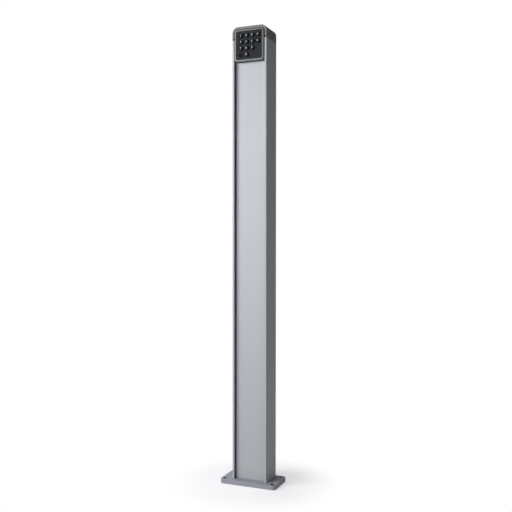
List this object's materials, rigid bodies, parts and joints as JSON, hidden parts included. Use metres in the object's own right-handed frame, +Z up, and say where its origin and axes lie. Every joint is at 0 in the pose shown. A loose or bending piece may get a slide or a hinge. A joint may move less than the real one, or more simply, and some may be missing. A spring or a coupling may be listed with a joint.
{
  "type": "gate keypad post",
  "caption": "Tall aluminium post on a base plate with a snap-in front cover, a rounded hood and a backed keypad of round keys that travel.",
  "frame": {"origin": "centre of the base plate's underside, which is the middle of the anchor hole rectangle", "axes": "+Z up along the post, front with the keypad towards -Y, +X to the right seen from the front"},
  "size_m": [0.163, 0.088, 1.2437],
  "materials": {
    "plate_paint": "satin silver-grey paint",
    "post_paint": "satin silver anodised",
    "cover_paint": "satin silver anodised",
    "cap_grey": "fine-grained grey moulding",
    "bezel_grey": "satin grey powder coat",
    "face_dark": "fine matt texture",
    "key_black": "satin",
    "key_blank_black": "satin",
    "mat_rubber": "matt silicone",
    "carbon": "matt",
    "gold": "plated",
    "board_green": "solder mask",
    "chip_black": "matt",
    "buzzer_black": "matt",
    "relay_blue": "gloss",
    "terminal_green": "matt",
    "screw_steel": "zinc plated",
    "clip_steel": "spring steel, oiled",
    "seal_rubber": "matt",
    "housing_black": "matt",
    "grommet_rubber": "matt",
    "bracket_zinc": "zinc plated"
  },
  "bodies": {
    "post": {"base_plate": "plate_paint", "base_screws": "screw_steel", "post_profile": "post_paint", "front_cover": "cover_paint", "cover_clips": "clip_steel", "top_cap": "cap_grey", "cap_screws": "screw_steel", "keypad_bezel": "bezel_grey", "keypad_face": "face_dark", "key_mat": "mat_rubber", "contact_pads": "gold", "circuit_board": "board_green", "control_chip": "chip_black", "buzzer": "buzzer_black", "relay": "relay_blue", "terminal_block": "terminal_green", "terminal_screws": "screw_steel", "housing_seal": "seal_rubber", "keypad_housing": "housing_black", "case_screws": "screw_steel", "cable_grommet": "grommet_rubber", "mounting_bracket": "bracket_zinc", "bracket_screws": "screw_steel", "housing_screws": "screw_steel"},
    "key_1": {"key_1": "key_black", "pill_1": "carbon"},
    "key_2": {"key_2": "key_black", "pill_2": "carbon"},
    "key_3": {"key_3": "key_black", "pill_3": "carbon"},
    "key_up": {"key_up": "key_black", "pill_up": "carbon"},
    "key_4": {"key_4": "key_black", "pill_4": "carbon"},
    "key_5": {"key_5": "key_black", "pill_5": "carbon"},
    "key_6": {"key_6": "key_black", "pill_6": "carbon"},
    "key_down": {"key_down": "key_black", "pill_down": "carbon"},
    "key_7": {"key_7": "key_black", "pill_7": "carbon"},
    "key_8": {"key_8": "key_black", "pill_8": "carbon"},
    "key_9": {"key_9": "key_black", "pill_9": "carbon"},
    "key_blank": {"key_blank": "key_blank_black", "pill_blank": "carbon"},
    "key_0": {"key_0": "key_black", "pill_0": "carbon"}
  },
  "joints": [
    {"name": "press_1", "type": "slide", "parent": "post", "child": "key_1", "axis": [0, 1, 0], "range_m": [0, 0.001], "stiffness_N_per_m": 800, "deforming": ["key_mat"]},
    {"name": "press_2", "type": "slide", "parent": "post", "child": "key_2", "axis": [0, 1, 0], "range_m": [0, 0.001], "stiffness_N_per_m": 800, "deforming": ["key_mat"]},
    {"name": "press_3", "type": "slide", "parent": "post", "child": "key_3", "axis": [0, 1, 0], "range_m": [0, 0.001], "stiffness_N_per_m": 800, "deforming": ["key_mat"]},
    {"name": "press_up", "type": "slide", "parent": "post", "child": "key_up", "axis": [0, 1, 0], "range_m": [0, 0.001], "stiffness_N_per_m": 800, "deforming": ["key_mat"]},
    {"name": "press_4", "type": "slide", "parent": "post", "child": "key_4", "axis": [0, 1, 0], "range_m": [0, 0.001], "stiffness_N_per_m": 800, "deforming": ["key_mat"]},
    {"name": "press_5", "type": "slide", "parent": "post", "child": "key_5", "axis": [0, 1, 0], "range_m": [0, 0.001], "stiffness_N_per_m": 800, "deforming": ["key_mat"]},
    {"name": "press_6", "type": "slide", "parent": "post", "child": "key_6", "axis": [0, 1, 0], "range_m": [0, 0.001], "stiffness_N_per_m": 800, "deforming": ["key_mat"]},
    {"name": "press_down", "type": "slide", "parent": "post", "child": "key_down", "axis": [0, 1, 0], "range_m": [0, 0.001], "stiffness_N_per_m": 800, "deforming": ["key_mat"]},
    {"name": "press_7", "type": "slide", "parent": "post", "child": "key_7", "axis": [0, 1, 0], "range_m": [0, 0.001], "stiffness_N_per_m": 800, "deforming": ["key_mat"]},
    {"name": "press_8", "type": "slide", "parent": "post", "child": "key_8", "axis": [0, 1, 0], "range_m": [0, 0.001], "stiffness_N_per_m": 800, "deforming": ["key_mat"]},
    {"name": "press_9", "type": "slide", "parent": "post", "child": "key_9", "axis": [0, 1, 0], "range_m": [0, 0.001], "stiffness_N_per_m": 800, "deforming": ["key_mat"]},
    {"name": "press_blank", "type": "slide", "parent": "post", "child": "key_blank", "axis": [0, 1, 0], "range_m": [0, 0.001], "stiffness_N_per_m": 800, "deforming": ["key_mat"]},
    {"name": "press_0", "type": "slide", "parent": "post", "child": "key_0", "axis": [0, 1, 0], "range_m": [0, 0.001], "stiffness_N_per_m": 800, "deforming": ["key_mat"]}
  ]
}
